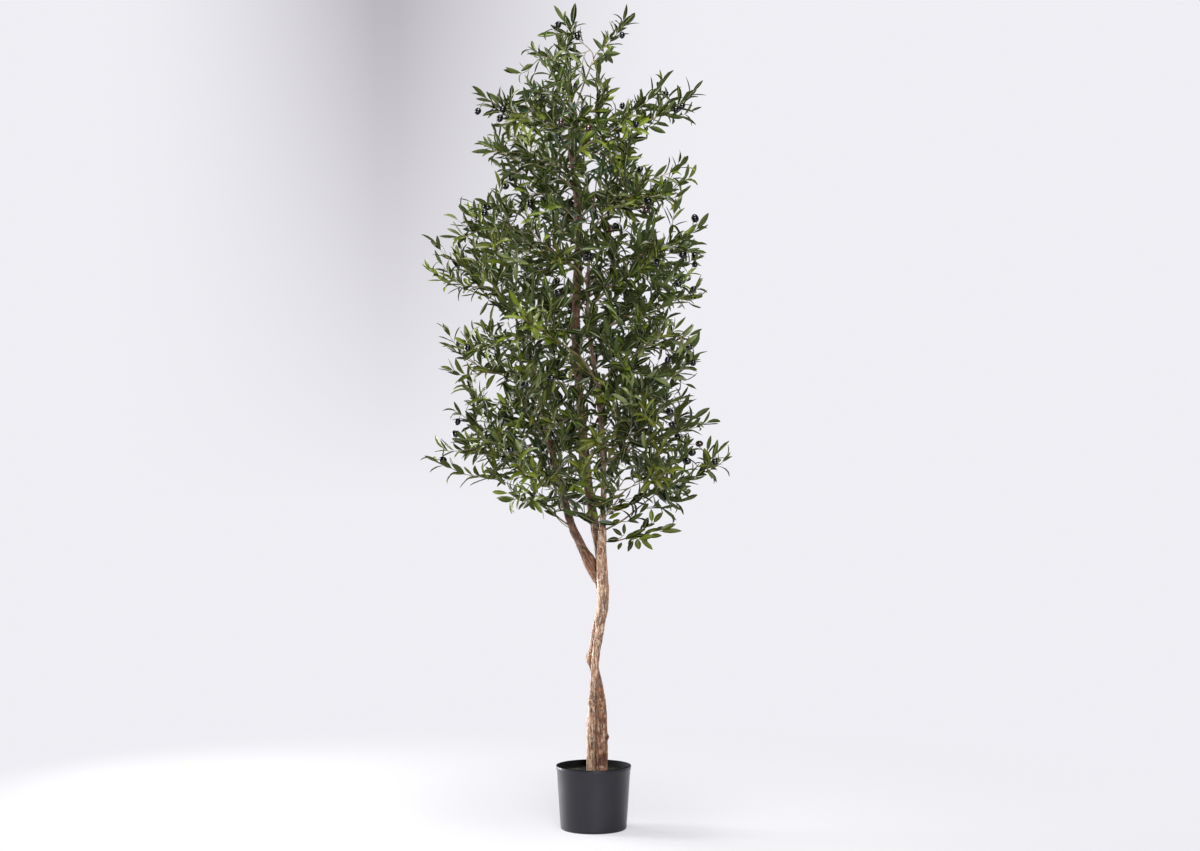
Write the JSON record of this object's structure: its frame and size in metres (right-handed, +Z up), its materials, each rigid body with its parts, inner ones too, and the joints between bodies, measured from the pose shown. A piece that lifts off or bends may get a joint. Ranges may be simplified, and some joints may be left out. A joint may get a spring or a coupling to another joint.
{
  "type": "artificial potted olive tree",
  "caption": "Artificial olive tree with two twined wooden stems, an open crown of leafy sprays and dark olives, standing in a plain round nursery pot.",
  "frame": {"origin": "middle of the pot's flat underside, on the floor", "axes": "+Z up along the height of the tree, -Y towards the front, +X to the right seen from the front"},
  "size_m": [0.93, 0.7637, 2.44],
  "materials": {
    "pot_plastic": "satin charcoal moulded plastic",
    "potting_fill": "matte dark filling with moss on top",
    "bark": "matte tan bark with darker knots",
    "foliage": "matte leaf green with paler undersides"
  },
  "bodies": {
    "root": {"pot": "pot_plastic", "fill": "potting_fill", "trunk_front": "bark", "trunk_back": "bark", "bough_middle": "bark", "bough_left": "bark", "bough_back_left": "bark", "bough_back_right": "bark", "bough_front_left": "bark", "bough_front_right": "bark", "bough_left_low": "bark", "bough_low_right": "bark", "bough_right": "bark", "bough_top_right": "bark", "foliage_back_left_1": "foliage", "foliage_back_left_2": "foliage", "foliage_back_left_3": "foliage", "foliage_back_left_4": "foliage", "foliage_back_left_5": "foliage", "foliage_back_right_1": "foliage", "foliage_back_right_2": "foliage", "foliage_back_right_3": "foliage", "foliage_back_right_4": "foliage", "foliage_back_right_5": "foliage", "foliage_front_left_1": "foliage", "foliage_front_left_2": "foliage", "foliage_front_left_3": "foliage", "foliage_front_left_4": "foliage", "foliage_front_left_5": "foliage", "foliage_front_right_1": "foliage", "foliage_front_right_2": "foliage", "foliage_front_right_3": "foliage", "foliage_front_right_4": "foliage", "foliage_front_right_5": "foliage", "foliage_left_1": "foliage", "foliage_left_2": "foliage", "foliage_left_3": "foliage", "foliage_left_4": "foliage", "foliage_left_5": "foliage", "foliage_left_6": "foliage", "foliage_left_7": "foliage", "foliage_low_right": "foliage", "foliage_right_1": "foliage", "foliage_right_2": "foliage", "foliage_right_3": "foliage", "foliage_right_4": "foliage", "foliage_right_5": "foliage", "foliage_right_6": "foliage", "foliage_right_7": "foliage", "foliage_top": "foliage", "foliage_top_right": "foliage", "foliage_upper_back": "foliage", "foliage_upper_front": "foliage", "foliage_upper_left": "foliage", "foliage_upper_right": "foliage"}
  },
  "joints": []
}
